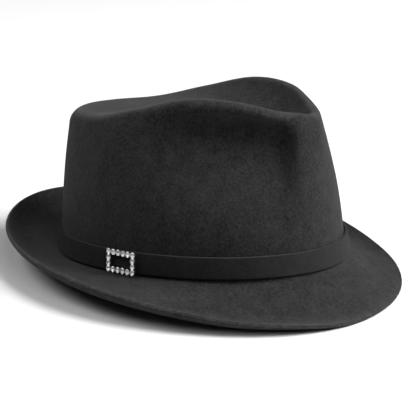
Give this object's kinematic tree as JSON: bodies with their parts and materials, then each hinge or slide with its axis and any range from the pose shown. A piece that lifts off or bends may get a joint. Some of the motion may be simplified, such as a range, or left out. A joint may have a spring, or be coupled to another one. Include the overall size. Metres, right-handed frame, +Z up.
{
  "type": "trilby",
  "caption": "Black wool-felt trilby with a teardrop crown, a brim snapped down in front, a felt band and a rectangular crystal-set buckle.",
  "frame": {"origin": "on the surface that the hat lies on, under the middle of its length and width", "axes": "+Z up, the hat's front towards -Y, the wearer's right, with the buckle, towards -X"},
  "size_m": [0.2686, 0.2764, 0.1278],
  "materials": {
    "wool_felt": "matt black blocked wool felt with a short nap",
    "felt_strap": "matt black felt strap",
    "plated_metal": "bright plated metal",
    "crystal": "clear cut crystal"
  },
  "bodies": {
    "root": {"felt_body": "wool_felt", "hat_band": "felt_strap", "buckle_frame": "plated_metal", "stone_01": "crystal", "stone_02": "crystal", "stone_03": "crystal", "stone_04": "crystal", "stone_05": "crystal", "stone_06": "crystal", "stone_07": "crystal", "stone_08": "crystal", "stone_09": "crystal", "stone_10": "crystal", "stone_11": "crystal", "stone_12": "crystal", "stone_13": "crystal", "stone_14": "crystal", "stone_15": "crystal", "stone_16": "crystal"}
  },
  "joints": []
}
